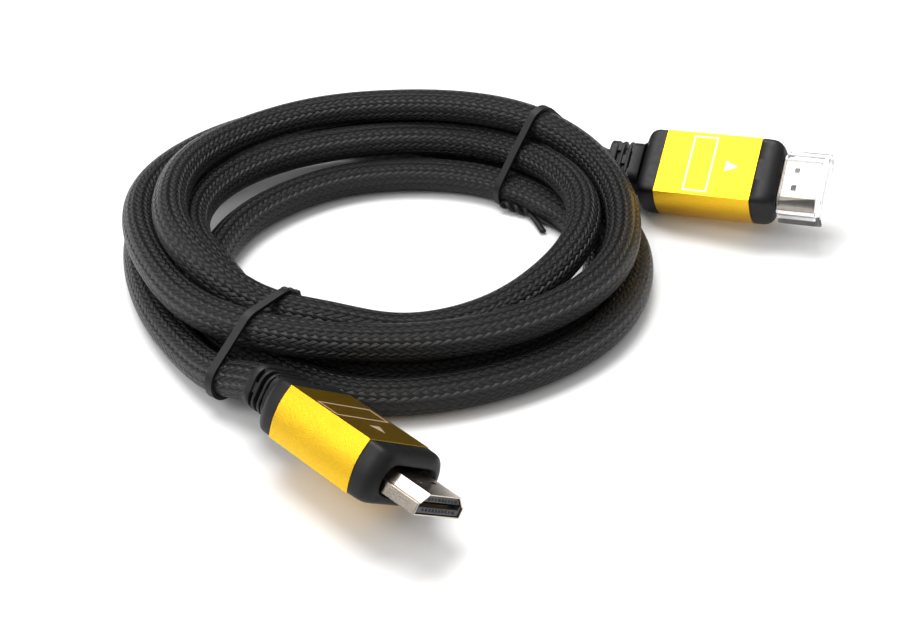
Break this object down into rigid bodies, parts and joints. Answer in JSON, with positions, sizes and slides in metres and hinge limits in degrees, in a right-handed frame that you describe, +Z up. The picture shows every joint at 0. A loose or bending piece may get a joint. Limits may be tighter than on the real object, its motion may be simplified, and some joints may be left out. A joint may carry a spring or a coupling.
{
  "type": "hdmi cable",
  "caption": "Black braided video cable coiled in several turns and held by twist ties, with a gold-sleeved plug at each end and a clear cap on one plug.",
  "frame": {"origin": "middle of the part's bounding box, on the floor that it lies on", "axes": "+Z up from the floor; +X to the right in the picture, towards the capped plug; +Y away from the camera"},
  "size_m": [0.172, 0.1622, 0.0231],
  "materials": {
    "braid": "black braided sleeve",
    "tie": "matt",
    "moulding": "satin",
    "gold_sleeve": "gold anodised, sandblasted",
    "shell": "plated",
    "insulator": "satin",
    "contact": "gold plated",
    "clear_cap": "clear plastic"
  },
  "bodies": {
    "cable": {"cable_coil": "braid", "front_lead": "braid", "rear_lead": "braid", "front_tie": "tie", "rear_tie": "tie", "front_boot": "moulding", "rear_boot": "moulding", "front_collar": "moulding", "rear_collar": "moulding", "front_gold_sleeve": "gold_sleeve", "rear_gold_sleeve": "gold_sleeve", "front_shell": "shell", "rear_shell": "shell", "front_insulator": "insulator", "rear_insulator": "insulator", "front_contact_01": "contact", "front_contact_02": "contact", "front_contact_03": "contact", "front_contact_04": "contact", "front_contact_05": "contact", "front_contact_06": "contact", "front_contact_07": "contact", "front_contact_08": "contact", "front_contact_09": "contact", "front_contact_10": "contact", "front_contact_11": "contact", "front_contact_12": "contact", "front_contact_13": "contact", "front_contact_14": "contact", "front_contact_15": "contact", "front_contact_16": "contact", "front_contact_17": "contact", "front_contact_18": "contact", "front_contact_19": "contact", "rear_contact_01": "contact", "rear_contact_02": "contact", "rear_contact_03": "contact", "rear_contact_04": "contact", "rear_contact_05": "contact", "rear_contact_06": "contact", "rear_contact_07": "contact", "rear_contact_08": "contact", "rear_contact_09": "contact", "rear_contact_10": "contact", "rear_contact_11": "contact", "rear_contact_12": "contact", "rear_contact_13": "contact", "rear_contact_14": "contact", "rear_contact_15": "contact", "rear_contact_16": "contact", "rear_contact_17": "contact", "rear_contact_18": "contact", "rear_contact_19": "contact"},
    "cap": {"clear_cap": "clear_cap"}
  },
  "joints": [
    {"name": "cap_slide", "type": "slide", "parent": "cable", "child": "cap", "axis": [0.9221, -0.3707, 0.1115], "range_m": [0, 0.016]}
  ]
}
